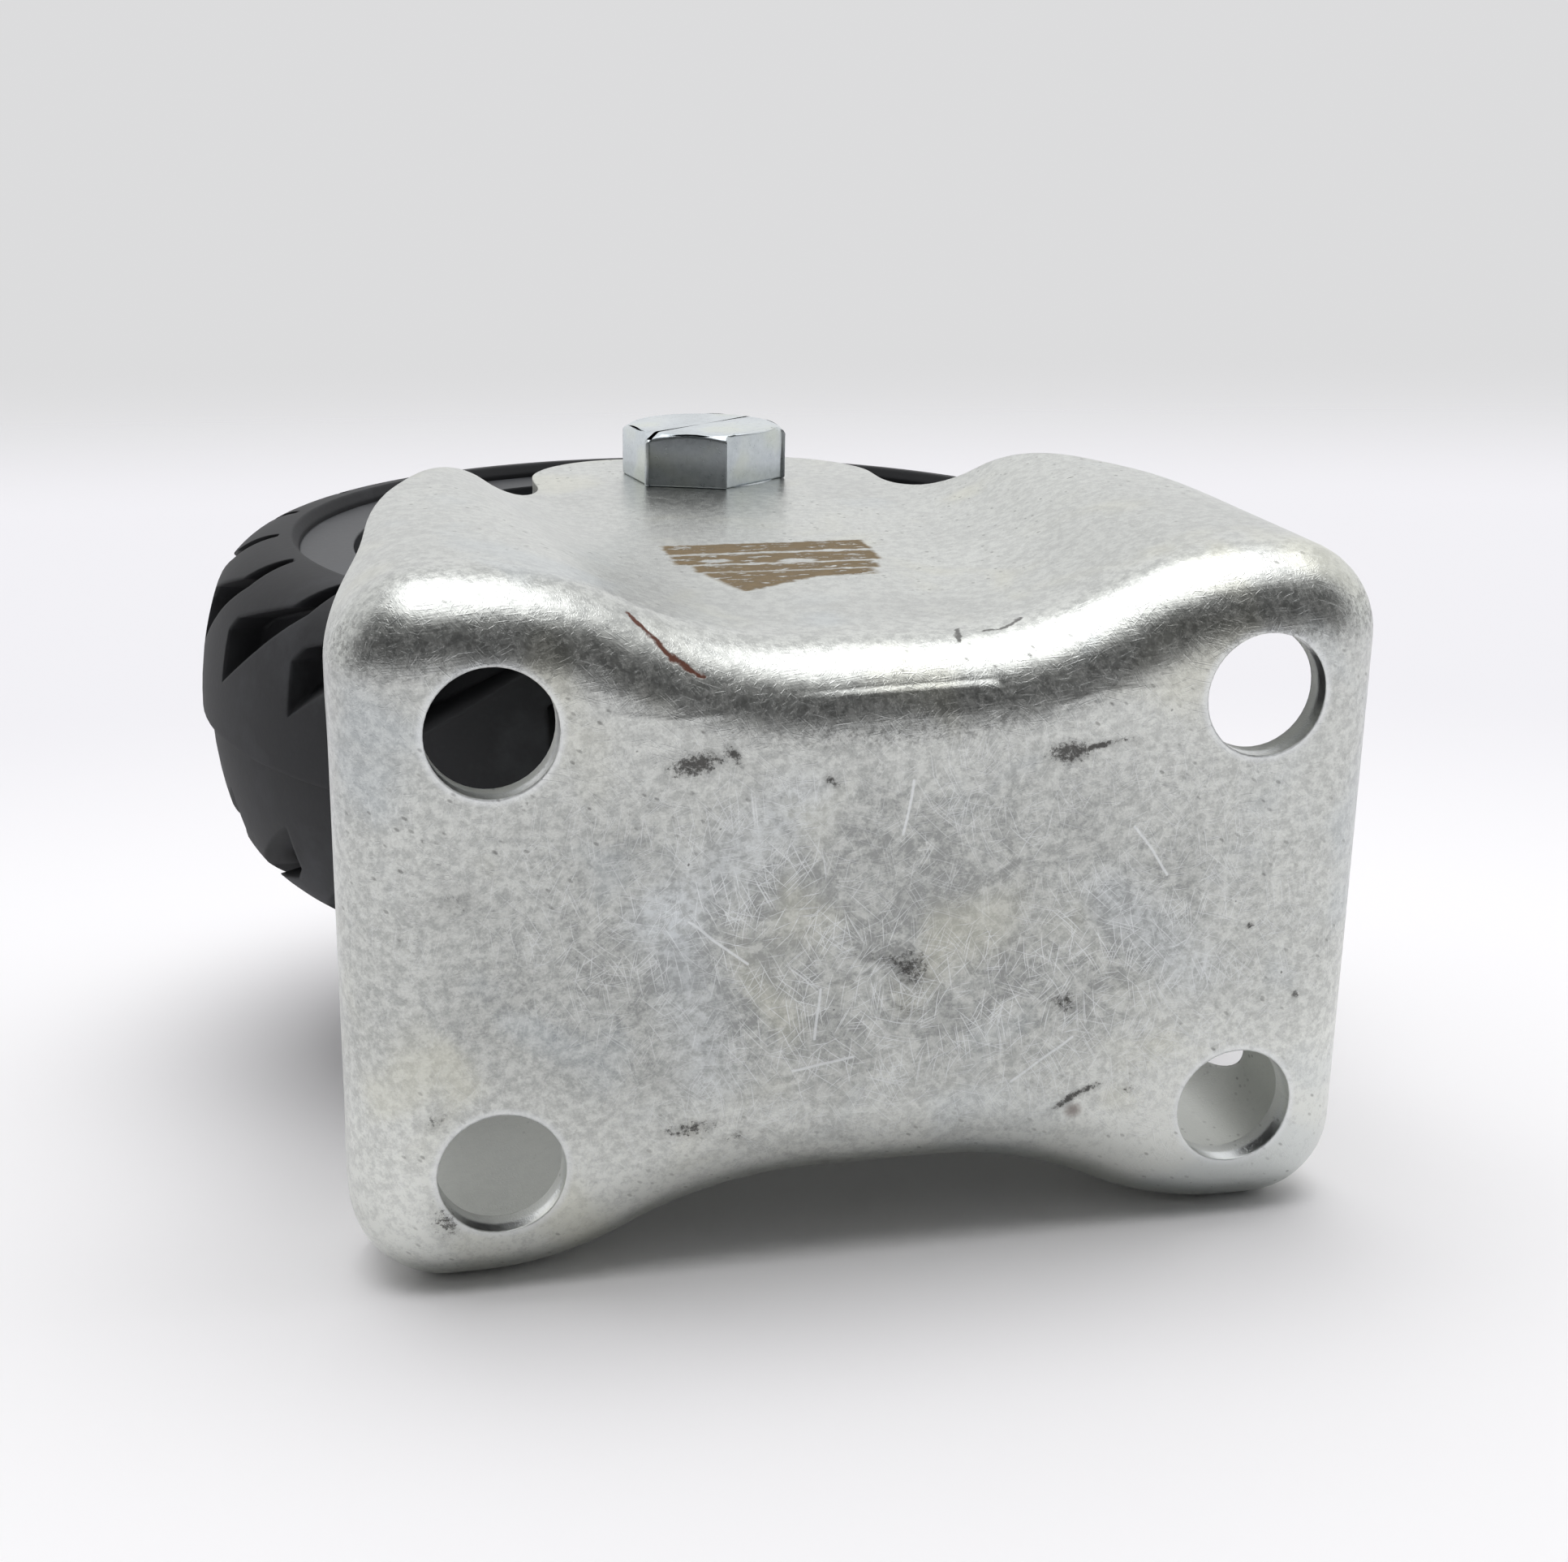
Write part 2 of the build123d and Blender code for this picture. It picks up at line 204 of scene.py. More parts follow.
    def surface(self, **values):
        shader = self.node("ShaderNodeBsdfPrincipled", values={k.replace("_", " "): v for k, v in values.items()})
        self.node("ShaderNodeOutputMaterial", values={"Surface": shader})
        return self.owner


def colour(red, green, blue):
    # a screen colour from 0 to 255, as the linear values that a shader takes
    return [((c / 255 + 0.055) / 1.055) ** 2.4 if c > 10 else c / 255 / 12.92 for c in (red, green, blue)] + [1.0]


# Zinc-plated sheet of the bracket, with the wear that it has; lengths in millimetres, turns in degrees
zincSheetLook = {
    "dull": colour(146, 148, 146),
    "bright": colour(226, 228, 223),
    "warm": colour(212, 210, 188),
    "cool": colour(180, 192, 202),
    "haze": colour(210, 216, 221),
    "scratch": colour(236, 239, 240),
    # colour of the dirt, also used for the painted shade in the bend's dark band
    "dirtAndBandShade": colour(52, 49, 46),
    "rust": colour(96, 52, 34),
    "residue": (colour(96, 80, 50), colour(132, 111, 74)),
    "roughness": 0.32,
    "microns": 24.0,
    "edge": 0.35,
    # sizes of the lumps in its patterns
    "cloudSize": 24.0, "tintSize": 15.0, "patchSize": 6.0, "mottleSize": 1.1, "speckleSize": 0.6,
    "fleckSize": 0.26, "speckSize": 1.1,
    # heights between which the legs' look turns into the plate's, brush marks begin and press marks begin
    "plateFade": (-16.0, -6.0), "brushFade": (-12.0, -5.0), "pressFade": (-6.0, -4.0),
    # the plate's dull, scratched middle: centre and half sizes
    "middle": ((2, -2, 0), (46, 23, 60)),
    "brushTurns": [6, -48], "brushSize": (3.2, 0.16, 0.6),
    "scratchTurns": [4, 23, 41, 60, 79, 101, 119, 138, 163],
    "scratchLength": 6.0, "scratchWidth": 0.19, "scratchSway": (1.8, 1.8, 0.0), "scratchBare": 0.55,
    "longScratches": [[(-6.4, -5.1, 0), (-6.8, -10.0, 0)], [(2.2, 14.9, 0), (1.2, 9.6, 0)],
                      [(12.8, -16.4, 0), (19.0, -12.3, 0)], [(-19.0, 2.4, 0), (-13.5, -2.0, 0)],
                      [(24.0, 9.0, 0), (27.5, 4.2, 0)], [(-9.0, -13.0, 0), (-3.4, -12.2, 0)]],
    "longScratchEdge": (0.2, 0.06),
    "chipTurn": -35, "chipSize": (1.2, 0.6, 1.2), "chipBare": 0.68,
    # where a wipe left the plate paler: from, to, half width
    "smears": [((-9.0, 13.0, 0), (-21.0, 3.0, 0), 5.5), ((-21.0, 3.0, 0), (-17.0, -13.0, 0), 5.0),
               ((22.0, 2.0, 0), (31.0, -6.0, 0), 5.0)],
    # smudges: x, y, half length, half width, turn, strength
    "smudges": [
        (-18.4, 17.5, 2.6, 1.2, 10, 1.0), (-14.8, 18.1, 1.4, 0.5, -50, 0.8), (-5.8, 15.2, 0.9, 0.5, -40, 0.8),
        (17.0, 16.7, 2.2, 1.1, 4, 1.0), (20.4, 17.3, 1.7, 0.35, 12, 0.9), (23.4, 17.5, 1.2, 0.6, 0, 0.4),
        (2.2, -3.6, 2.2, 1.7, -40, 0.8), (1.9, -7.8, 1.2, 1.0, 0, 0.5), (-1.6, -2.4, 2.2, 0.6, -12, 0.5),
        (17.8, -8.5, 1.5, 1.2, 0, 0.75), (36.6, -2.0, 0.45, 0.4, 0, 0.9), (42.0, -9.7, 0.5, 0.45, 0, 0.8),
        (18.4, -19.1, 1.4, 0.5, 35, 0.9), (20.8, -17.9, 1.7, 0.45, 22, 0.8), (25.0, -18.3, 0.7, 0.6, 0, 0.6),
        (-18.8, -18.3, 2.8, 0.8, 4, 0.8), (-14.6, -19.7, 1.8, 0.7, 20, 0.5), (-25.0, 9.2, 3.2, 2.6, 0, 0.32),
        (-40.2, 6.0, 1.8, 1.4, 0, 0.4), (-42.4, -15.3, 1.4, 1.0, 20, 0.5), (-41.8, -25.6, 1.4, 2.2, 20, 0.7),
    ],
    # how far inside the pressing's outline the painted shade in the dark band fades in and out again
    "bandShadeFrom": (2.5, 5.0), "bandShadeTo": (10.0, 6.5),
    # the plate holes' centre in one quarter, and the radii where their pale rim starts, is lightest and ends
    "hole": (36.5, 21.25), "holeRim": (5.9, 6.1, 6.9),
    # the thin rusted scratch across the bend, a rusty spot, and darker nicks: points in the part's frame
    "rustStroke": [(-23.6, 30.3, -5.4), (-22.0, 28.7, -4.0), (-20.2, 26.8, -2.5), (-17.5, 25.0, -1.8)],
    "rustEdge": (0.42, 0.16),
    "rustSpot": ((19.4, -20.1, 0), (1.1, 0.9, 2)),
    "nicks": [[(8.2, 26.8, -8.1), (7.6, 26.3, -5.7)],
              [(10.4, 26.9, -7.0), (12.6, 27.1, -6.8), (14.5, 27.7, -8.2)]],
    "nickEdge": (0.36, 0.14),
    # light creases that the press left on the plate's upper edge
    "creases": [[(-25.6, 22.4, 0), (-20.5, 21.6, 0), (-15.3, 21.9, 0)],
                [(16.1, 21.3, 0), (20.5, 22.5, 0), (27.2, 22.3, 0)]],
    "creaseWidth": 0.6,
    # a flatter tongue in the bend: its middle line, half width, the length over which it fades in, and tilt
    "tongue": ((-13.0, 21.4, 0), (9.5, 21.9, 0), 1.5, 11.0, 0.032),
    # the pressing's outer face, which tells the sheet's inside from its outside: half width and flat half length of
    # the waist at the plate and at the feet, the feet's height, the lobes, and the radii of its corners and bend
    "waist": (26.6, 4.0), "foot": (27.8, 20.0), "footHeight": 74.0, "lobe": (34.5, 38.5), "halfLength": 50.25,
    "corner": 9.2, "bend": 8.5, "sheet": 3.2,
    # what is left of a wiped-off label on the leg: bars by x from, x to, z from, z to, a wedge whose top runs level
    # and then falls to a shelf, bare holes by x, z and half sizes, and the y where the leg's outer face starts
    "residueBars": [(-12.8, 9.6, -47.6, -43.3), (-12.9, 9.4, -42.6, -38.3), (-11.4, 8.2, -37.7, -34.7)],
    "residueWedge": {"corner": -10.9, "low": -34.3, "high": -26.2, "level": 3.0, "fall": -0.62, "shelf": -31.6,
                     "end": (7.8, 6.4), "slant": 0.3},
    "residueHoles": [(-8.4, -39.8, 1.9, 0.8), (0.2, -38.9, 2.1, 0.8), (-4.5, -37.9, 1.2, 0.5), (5.0, -43.0, 1.6, 0.6)],
    "residueFace": (24.0, 26.0),
}


def hairlines(finish, look, place):
    # hairline scratches: cells stretched into slivers, one layer for each direction
    width = look["scratchWidth"]
    layers = 0.0
    for i, turn in enumerate(look["scratchTurns"]):
        size = (look["scratchLength"] * (0.6 + 0.12 * i), width, width * 3)
        layer = finish.local(place, (3.0 * i, 5.0, 1.0), (0, 0, turn), size)
        layers = layers + finish.slivers(layer, look["scratchBare"])
    return layers.atMost(1.0)


def smudges(finish, look, place, speckle):
    # smudges that break up into speckle towards their edges, each in a thin veil
    soil = 0.0
    for x, y, halfLength, halfWidth, turn, strength in look["smudges"]:
        reach = finish.reach(place, (x, y, 0), (halfLength, halfWidth, 2), turn)
        soil = soil + finish.step(reach, 1.8, 0.0) * strength
    broken = finish.step(soil * 0.7 + (speckle - 0.5) * 1.9, 0.26, 0.66) * finish.step(soil, 0.0, 0.25)
    return broken.atLeast((soil * 0.3).atMost(0.25))


def labelResidue(finish, look, place):
    # plain bars and a wedge, seen along the axle, with bare holes
    x, y, z = finish.axes(place)
    residue = 0.0
    for xLow, xHigh, zLow, zHigh in look["residueBars"]:
        residue = residue + finish.between(x, xLow, xHigh, 0.4) * finish.between(z, zLow, zHigh, 0.3)
    wedge = look["residueWedge"]
    corner, low = wedge["corner"], wedge["low"]
    fallen = (x - (corner + wedge["level"])).atLeast(0.0) * wedge["fall"]
    overTop = z - (fallen + wedge["high"]).atLeast(wedge["shelf"])
    inWedge = finish.step(x - (z - low) * wedge["slant"], corner - 0.4, corner + 0.6) * finish.step(x, *wedge["end"])
    residue = residue + inWedge * finish.step(z, low - 0.3, low + 0.2) * finish.step(overTop, 0.4, -0.4)
    for holeX, holeZ, halfLength, halfHeight in look["residueHoles"]:
        hole = finish.reach(place, (holeX, 27.0, holeZ), (halfLength, 20.0, halfHeight))
        residue = residue * finish.step(hole, 0.7, 1.2)
    return residue.atMost(1.0)


def pressMarks(finish, look, place):
    # heights of the creases and of the flatter tongue in the bend
    flat = finish.vector("MULTIPLY", place, (1.0, 1.0, 0.0))
    x, y, z = finish.axes(place)
    onTop = finish.step(z, *look["pressFade"])
    crease = 0.0
    for points in look["creases"]:
        crease = finish.step(finish.pathGap(flat, points), look["creaseWidth"], 0.0).atLeast(crease)
    start, end, halfWidth, fade, tilt = look["tongue"]
    within = finish.step(finish.strokeGap(flat, start, end), halfWidth + 0.3, halfWidth - 0.4)
    within = within * finish.step(x, start[0], start[0] + fade) * onTop
    tongue = (y - (start[1] - halfWidth)).atLeast(0.0) * within * (tilt * 1000.0 / look["microns"])
    return crease * onTop * 1.2 + tongue


def pressingOutline(finish, look, x, z):
    # half width of the pressing's outer face, from the narrow waist to the lobes, at each height
    (waist, waistEnd), (foot, footEnd), (lobe, lobeStart) = look["waist"], look["foot"], look["lobe"]
    down = (z / -look["footHeight"]).atLeast(0.0).atMost(1.0)
    narrow = waist + down * (foot - waist)
    flank = finish.step(x.absolute(), waistEnd + down * (footEnd - waistEnd), lobeStart)
    return narrow + flank * (lobe - narrow)


def makeZincSheet(look):
    finish = Finish(bpy.data.materials.new("zincSheet"))
    place = finish.place()
    x, y, z = finish.axes(place)
    bent = finish.shaken(place, 0.09, 2.0, look["scratchSway"])
    shaky = finish.shaken(place, 0.9, 3.0, (1.1, 1.1, 1.1))

    cloud = finish.grain(place, look["cloudSize"], 2.0, 0.5)
    patch = finish.grain(finish.vector("ADD", place, (70.0, 20.0, 5.0)), look["patchSize"], 5.0, 0.6, 0.8)
    tint = finish.grain(finish.vector("ADD", place, (30.0, 50.0, 9.0)), look["tintSize"], 2.0, 0.5, 0.4)
    mottle = finish.grain(place, look["mottleSize"], 5.0, 0.72)
    speckle = finish.grain(place, look["speckleSize"], 5.0, 0.82)
    fleck = finish.grain(place, look["fleckSize"], 2.0, 0.7)
    brush = 0.0
    for turn in look["brushTurns"]:
        brush = brush + finish.grain(finish.local(place, (0, 0, 0), (0, 0, turn), look["brushSize"]), 1.0, 2.0, 0.6)
    brush = (brush - 1.0) * finish.step(z, *look["brushFade"])

    # where it is
    onPlate = finish.step(z, *look["plateFade"])
    middle = finish.step(finish.reach(place, *look["middle"]), 1.2, 0.3)
    outside = pressingOutline(finish, look, x, z)
    fromRim = finish.roundedDepth(look["halfLength"] - x.absolute(), outside - y.absolute(), look["corner"])
    intoSheet = finish.roundedDepth(fromRim, z * -1.0, look["bend"])
    insideMatteAndPaintedLight = finish.step(intoSheet, look["sheet"] * 0.4, look["sheet"] * 0.65)

    # zinc in dull and bright crystals, duller in the middle and darker towards the left; painted shade makes the legs a
    # little darker than the plate, and painted light makes it paler towards the bottom
    crisp = finish.step(mottle, 0.38, 0.62)
    crystals = ((crisp - 0.5) * 0.36 + (fleck - 0.5) * 0.5) * (0.7 + onPlate * 0.3) + brush * 0.15
    shade = 0.48 + onPlate * 0.12 + crystals + (cloud - 0.5) * 0.35 - finish.step(x, 0.0, -40.0) * onPlate * 0.14
    shade = shade - middle * 0.3 - finish.step(patch, 0.52, 0.48) * 0.2 * middle + finish.step(y, -4.0, -30.0) * 0.5
    base = finish.blend(shade, look["dull"], look["bright"])
    base = finish.blend(finish.step(tint, 0.56, 0.74) * 0.3, base, look["warm"])
    base = finish.blend(finish.step(tint, 0.42, 0.26) * 0.2, base, look["cool"])

    # smears, scratches and the holes' rims are paler
    for start, end, reach in look["smears"]:
        smear = finish.step(finish.strokeGap(bent, start, end), reach, 0.0) * (0.35 + crisp * 0.65)
        base = finish.blend(smear * 0.32, base, look["haze"])
    scratches = hairlines(finish, look, bent)
    worn = scratches * (0.25 + 0.75 * middle) * finish.step(cloud, 0.25, 0.55)
    for points in look["longScratches"]:
        worn = worn.atLeast(finish.step(finish.pathGap(bent, points), *look["longScratchEdge"]))
    base = finish.blend(worn * 0.6, base, look["scratch"])
    (holeX, holeY), (rimStart, rimTop, rimEnd) = look["hole"], look["holeRim"]
    toHole = finish.node("ShaderNodeCombineXYZ", values={0: x.absolute() - holeX, 1: y.absolute() - holeY, 2: z})
    fromHole = finish.number("LENGTH", toHole)
    rim = finish.step(fromHole, rimEnd, rimTop) * finish.step(fromHole, rimStart, rimTop)
    base = finish.blend(rim * 0.5, base, look["scratch"])

    # dirt: smudges, specks, small chips and nicks; and painted shade, dark speckle in the dark band where the bend
    # starts
    dirtAndBandShade = smudges(finish, look, place, speckle)
    specks = finish.step(finish.grain(place, look["speckSize"], 1.0, 0.5), 0.76, 0.8) * finish.step(cloud, 0.5, 0.62)
    dirtAndBandShade = dirtAndBandShade.atLeast(specks * 0.7)
    chipPlace = finish.local(place, (1.0, 1.0, 1.0), (0, 0, look["chipTurn"]), look["chipSize"])
    chips = finish.slivers(chipPlace, look["chipBare"]) * finish.step(middle, 0.9, 0.3)
    dirtAndBandShade = dirtAndBandShade.atLeast(chips * finish.step(cloud, 0.38, 0.55) * 0.45)
    for points in look["nicks"]:
        dirtAndBandShade = dirtAndBandShade.atLeast(finish.step(finish.pathGap(shaky, points), *look["nickEdge"]) * 0.9)
    # painted shade: dark speckle along the band just inside the outline, where the bend starts
    depth = outside - y
    paintedBandShade = finish.step(depth, *look["bandShadeTo"]) * finish.step(depth, *look["bandShadeFrom"])
    dirtAndBandShade = dirtAndBandShade.atLeast(paintedBandShade * finish.step(speckle, 0.47, 0.6) * onPlate * 0.5)

    rust = finish.step(finish.pathGap(shaky, look["rustStroke"]), *look["rustEdge"])
    rust = rust.atLeast(finish.step(finish.reach(place, *look["rustSpot"]), 1.2, 0.2) * 0.45)

    flakes = finish.grain(finish.local(place, size=(2.6, 1.0, 0.9)), 1.0, 4.0, 0.72)
    residue = labelResidue(finish, look, shaky) * finish.step(flakes, 0.34, 0.44)
    residue = residue * finish.step(y, *look["residueFace"])

    # the sheet's inside is duller and less metallic than its outside, and is painted paler: painted light against the
    # shade inside the bracket
    base = finish.blend(insideMatteAndPaintedLight * 0.7, base, look["bright"])
    base = finish.blend(dirtAndBandShade * 0.85, base, look["dirtAndBandShade"])
    base = finish.blend(rust, base, look["rust"])
    base = finish.blend(residue, base, finish.blend(flakes * 2.0 - 0.6, *look["residue"]))
    rough = look["roughness"] + (mottle - 0.5) * 0.16 + (cloud - 0.5) * 0.12 + worn * 0.08 + dirtAndBandShade * 0.25
    rough = rough + residue * 0.4 + rust * 0.4 + insideMatteAndPaintedLight * 0.2
    height = (mottle * 0.6 + fleck * 0.25) * (0.3 + onPlate * 0.7) + scratches * 0.35 - rust * 0.8 + residue * 0.9
    height = height + brush * 0.5 + pressMarks(finish, look, place)
    normal = finish.bump(height, look["microns"], finish.softEdges(look["edge"]))
    metallic = 1.0 - (dirtAndBandShade * 0.6 + rust.atLeast(residue)).atLeast(insideMatteAndPaintedLight * 0.75)
    return finish.surface(Base_Color=base, Metallic=metallic, Roughness=rough, Normal=normal)


# Bright zinc of the bolt and nut, turned or plain steel, and the bearing's parts
metalLooks = {
    "brightZinc": {"low": colour(158, 166, 170), "high": colour(222, 228, 231), "tint": colour(196, 200, 172),
                   "tintShare": 0.35, "roughness": 0.29, "size": 2.4, "microns": 10.0, "edge": 0.2},
    "turnedSteel": {"low": colour(120, 121, 123), "high": colour(176, 177, 178), "tint": colour(150, 132, 108),
                    "tintShare": 0.2, "roughness": 0.34, "size": 1.4, "microns": 6.0, "edge": 0.1},
    "bearingSteel": {"low": colour(168, 170, 172), "high": colour(206, 208, 210), "tint": colour(160, 150, 120),
                     "tintShare": 0.15, "roughness": 0.22, "size": 3.0, "microns": 2.0, "edge": 0.1},
    "shieldSteel": {"low": colour(140, 142, 145), "high": colour(190, 192, 194), "tint": colour(120, 112, 96),
                    "tintShare": 0.3, "roughness": 0.3, "size": 2.0, "microns": 5.0, "edge": 0.1},
}


def makeMetal(name, look):
    finish = Finish(bpy.data.materials.new(name))
    place = finish.place()
    cloud = finish.grain(place, look["size"] * 3, 2.0, 0.5)
    mottle = finish.grain(place, look["size"] / 3, 4.0, 0.65)
    shade = 0.55 + (mottle - 0.5) * 0.8 + (cloud - 0.5) * 0.9
    base = finish.blend(shade, look["low"], look["high"])
    base = finish.blend(finish.step(cloud, 0.48, 0.7) * look["tintShare"], base, look["tint"])
    rough = look["roughness"] + (mottle - 0.5) * 0.12
    normal = finish.bump(mottle, look["microns"], finish.softEdges(look["edge"]))
    return finish.surface(Base_Color=base, Metallic=1.0, Roughness=rough, Normal=normal)


# Moulded plastics and the tyre's rubber
mouldedLooks = {
    "mouldedGrey": {"low": colour(58, 60, 63), "high": colour(84, 86, 89), "roughness": 0.52, "size": 0.5,
                    "microns": 18.0, "edge": 0.5},
    "nylonInsert": {"low": colour(206, 208, 200), "high": colour(232, 233, 227), "roughness": 0.42, "size": 0.8,
                    "microns": 6.0, "edge": 0.1},
    "cageNylon": {"low": colour(196, 186, 156), "high": colour(220, 212, 186), "roughness": 0.45, "size": 0.8,
                  "microns": 5.0, "edge": 0.1},
    "rubber": {"low": colour(28, 29, 32), "high": colour(62, 63, 66), "roughness": 0.7, "size": 0.7,
               "microns": 22.0, "edge": 0.7},
}


def makeMoulded(name, look):
    finish = Finish(bpy.data.materials.new(name))
    place = finish.place()
    cloud = finish.grain(place, look["size"] * 24, 3.0, 0.6)
    pores = finish.grain(place, look["size"], 3.0, 0.6)
    dust = finish.step(cloud, 0.5, 0.75)
    base = finish.blend((pores - 0.5) * 0.6 + dust, look["low"], look["high"])
    rough = look["roughness"] + dust * 0.14 + (pores - 0.5) * 0.1
    normal = finish.bump(pores, look["microns"], finish.softEdges(look["edge"]))
    return finish.surface(Base_Color=base, Roughness=rough, Normal=normal)


finishes = {"zincSheet": makeZincSheet(zincSheetLook)}
finishes.update({name: makeMetal(name, look) for name, look in metalLooks.items()})
finishes.update({name: makeMoulded(name, look) for name, look in mouldedLooks.items()})

nodeFinish = {
    "bracket": "zincSheet", "lock_nut": "brightZinc", "nut_insert": "nylonInsert", "centre_sleeve": "turnedSteel",
    "wheel_centre": "mouldedGrey", "tyre": "rubber", "axle_bolt": "brightZinc",
}
sideFinish = {
    "spacer": "turnedSteel", "inner_ring": "bearingSteel", "outer_ring": "bearingSteel", "balls": "bearingSteel",
    "cage": "cageNylon", "outer_shield": "shieldSteel", "inner_shield": "shieldSteel",
}
for side in ("head", "nut"):
    nodeFinish.update({f"{side}_side_{kind}": name for kind, name in sideFinish.items()})
for name, node in nodes.items():
    node.data.materials.clear()
    node.data.materials.append(finishes[nodeFinish[name]])
print("finishes made:", len(finishes))


# Axle bolt: rounded hexagon head, and a rolled thread that starts under the nut
boltShape = {
    "acrossFlats": 19.0, "headHeight": 6.5, "headTurn": 38.5, "cornerRadius": 0.7, "chamferTilt": 28.0,
    "topRadius": 8.9, "edgeRound": 0.3, "underRound": 0.2, "shankRadius": 5.95, "threadLength": 14.5,
    "threadPitch": 1.75, "threadDepth": 0.9, "threadRunOut": 0.6, "tipChamfer": 1.2, "capRadius": 0.4,
}


def roundedHexagon(acrossFlats, cornerRadius, stepsPerCorner=6, stepsPerFlat=8):
    # (angle, radius) pairs round a hexagon whose first corner is at angle 0
    reach = acrossFlats / 2 / math.cos(math.radians(30)) - cornerRadius / math.cos(math.radians(30))
    points = []
    for corner in range(6):
        centre = Vector((reach, 0)) @ Matrix.Rotation(math.radians(-60 * corner), 2).transposed()
        for i in range(stepsPerCorner + 1):
            angle = math.radians(60 * corner - 30 + 60 * i / stepsPerCorner)
            points.append(centre + cornerRadius * Vector((math.cos(angle), math.sin(angle))))
        nextCentre = Vector((reach, 0)) @ Matrix.Rotation(math.radians(-60 * (corner + 1)), 2).transposed()
        angle = math.radians(60 * corner + 30)
        offset = cornerRadius * Vector((math.cos(angle), math.sin(angle)))
        for i in range(1, stepsPerFlat):
            points.append(centre.lerp(nextCentre, i / stepsPerFlat) + offset)
    return [(math.atan2(p.y, p.x), p.length) for p in points]


def ringedMesh(name, rings):
    # closed skin over rings of points, all with the same count, capped at both ends
    mesh = bmesh.new()
    rows = [[mesh.verts.new(p) for p in ring] for ring in rings]
    count = len(rows[0])
    for low, high in zip(rows[:-1], rows[1:]):
        for i in range(count):
            j = (i + 1) % count
            mesh.faces.new((low[i], low[j], high[j], high[i]))
    mesh.faces.new(rows[0][::-1])
    mesh.faces.new(rows[-1])
    bmesh.ops.recalc_face_normals(mesh, faces=mesh.faces)
    data = bpy.data.meshes.new(name)
    mesh.to_mesh(data)
    mesh.free()
    piece = bpy.data.objects.new(name, data)
    bpy.context.scene.collection.objects.link(piece)
    return piece


def threadTree(material):
    # joins a rolled thread to the bolt it is given
    tree = bpy.data.node_groups.new("rolledThread", "GeometryNodeTree")
    face = tree.interface
    face.new_socket("Geometry", in_out="OUTPUT", socket_type="NodeSocketGeometry")
    face.new_socket("Geometry", in_out="INPUT", socket_type="NodeSocketGeometry")
    for name in ("Turns", "Length", "Path Radius", "Depth"):
        face.new_socket(name, in_out="INPUT", socket_type="NodeSocketFloat")
    face.new_socket("Start", in_out="INPUT", socket_type="NodeSocketVector")

    def add(kind, links=None, **values):
        made = tree.nodes.new(kind)
        for name, value in values.items():
            made.inputs[name.replace("_", " ")].default_value = value
        for name, socket in (links or {}).items():
            tree.links.new(socket, made.inputs[name])
        return made

    given = tree.nodes.new("NodeGroupInput").outputs
    spiral = add("GeometryNodeCurveSpiral", {
        "Rotations": given["Turns"], "Height": given["Length"], "Start Radius": given["Path Radius"],
        "End Radius": given["Path Radius"]}, Resolution=40)
    upright = add("GeometryNodeSetCurveNormal", {"Curve": spiral.outputs[0]})
    upright.mode = "Z_UP"
    ridge = add("GeometryNodeCurvePrimitiveCircle", {"Radius": given["Depth"]}, Resolution=4)
    swept = add("GeometryNodeCurveToMesh", {"Curve": upright.outputs[0], "Profile Curve": ridge.outputs[0]})
    swept.inputs["Fill Caps"].default_value = True
    laid = add("GeometryNodeTransform", {"Geometry": swept.outputs[0], "Translation": given["Start"]},
               Rotation=(math.radians(90), 0, 0))
    joined = add("GeometryNodeJoinGeometry")
    tree.links.new(laid.outputs[0], joined.inputs[0])
    tree.links.new(given["Geometry"], joined.inputs[0])
    real = add("GeometryNodeRealizeInstances", {"Geometry": joined.outputs[0]})
    coated = add("GeometryNodeSetMaterial", {"Geometry": real.outputs[0]})
    coated.inputs["Material"].default_value = material
    out = tree.nodes.new("NodeGroupOutput")
    tree.links.new(coated.outputs[0], out.inputs[0])
    return tree


def bakeModifiers(piece):
    # the evaluated shape becomes the piece's own plain mesh
    graph = bpy.context.evaluated_depsgraph_get()
    made = bpy.data.meshes.new_from_object(piece.evaluated_get(graph))
    piece.modifiers.clear()
    piece.data = made


def smooth(piece, angle):
    piece.data.shade_smooth()
    piece.data.set_sharp_from_angle(angle=math.radians(angle))


